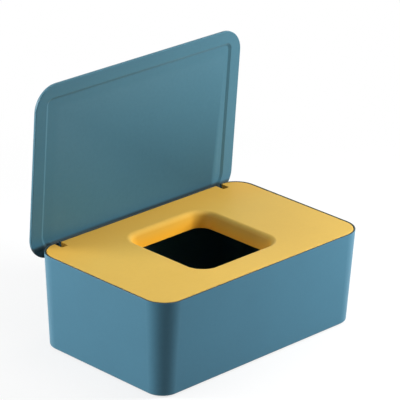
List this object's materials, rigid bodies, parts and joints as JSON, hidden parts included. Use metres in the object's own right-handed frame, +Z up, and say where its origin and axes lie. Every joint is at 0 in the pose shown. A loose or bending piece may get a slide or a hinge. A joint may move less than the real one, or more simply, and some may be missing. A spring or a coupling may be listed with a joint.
{
  "type": "countertop wipes dispenser",
  "caption": "Drafted box with rounded corners, a flush lift-out cover with a square funnel to pull wipes through, and a hinged lid that stands open.",
  "frame": {"origin": "the middle of the footprint with the lid open, on the surface that the feet stand on; the case is centred 3.6 mm in front of it", "axes": "+X along the long side, to the right as seen from the front; +Y from the front to the hinge; +Z up"},
  "size_m": [0.188, 0.1275, 0.1789],
  "materials": {
    "case_plastic": "satin moulded, dusty teal blue",
    "cover_plastic": "satin moulded, ochre yellow",
    "lid_plastic": "satin moulded, dusty teal blue",
    "pin_steel": "drawn wire",
    "foot_rubber": "matt"
  },
  "bodies": {
    "case": {"outer_case": "case_plastic", "foot_front_left": "foot_rubber", "foot_front_right": "foot_rubber", "foot_rear_left": "foot_rubber", "foot_rear_right": "foot_rubber"},
    "cover": {"inner_cover": "cover_plastic"},
    "lid": {"lid": "lid_plastic", "hinge_pin_left": "pin_steel", "hinge_pin_right": "pin_steel"}
  },
  "joints": [
    {"name": "cover_lift", "type": "slide", "parent": "case", "child": "cover", "axis": [0, 0, 1], "range_m": [0, 0.08]},
    {"name": "lid_hinge", "type": "hinge", "parent": "cover", "child": "lid", "pos_m": [0, 0.052, 0.0588], "axis": [1, 0, 0], "range_deg": [0, 86.8]}
  ]
}
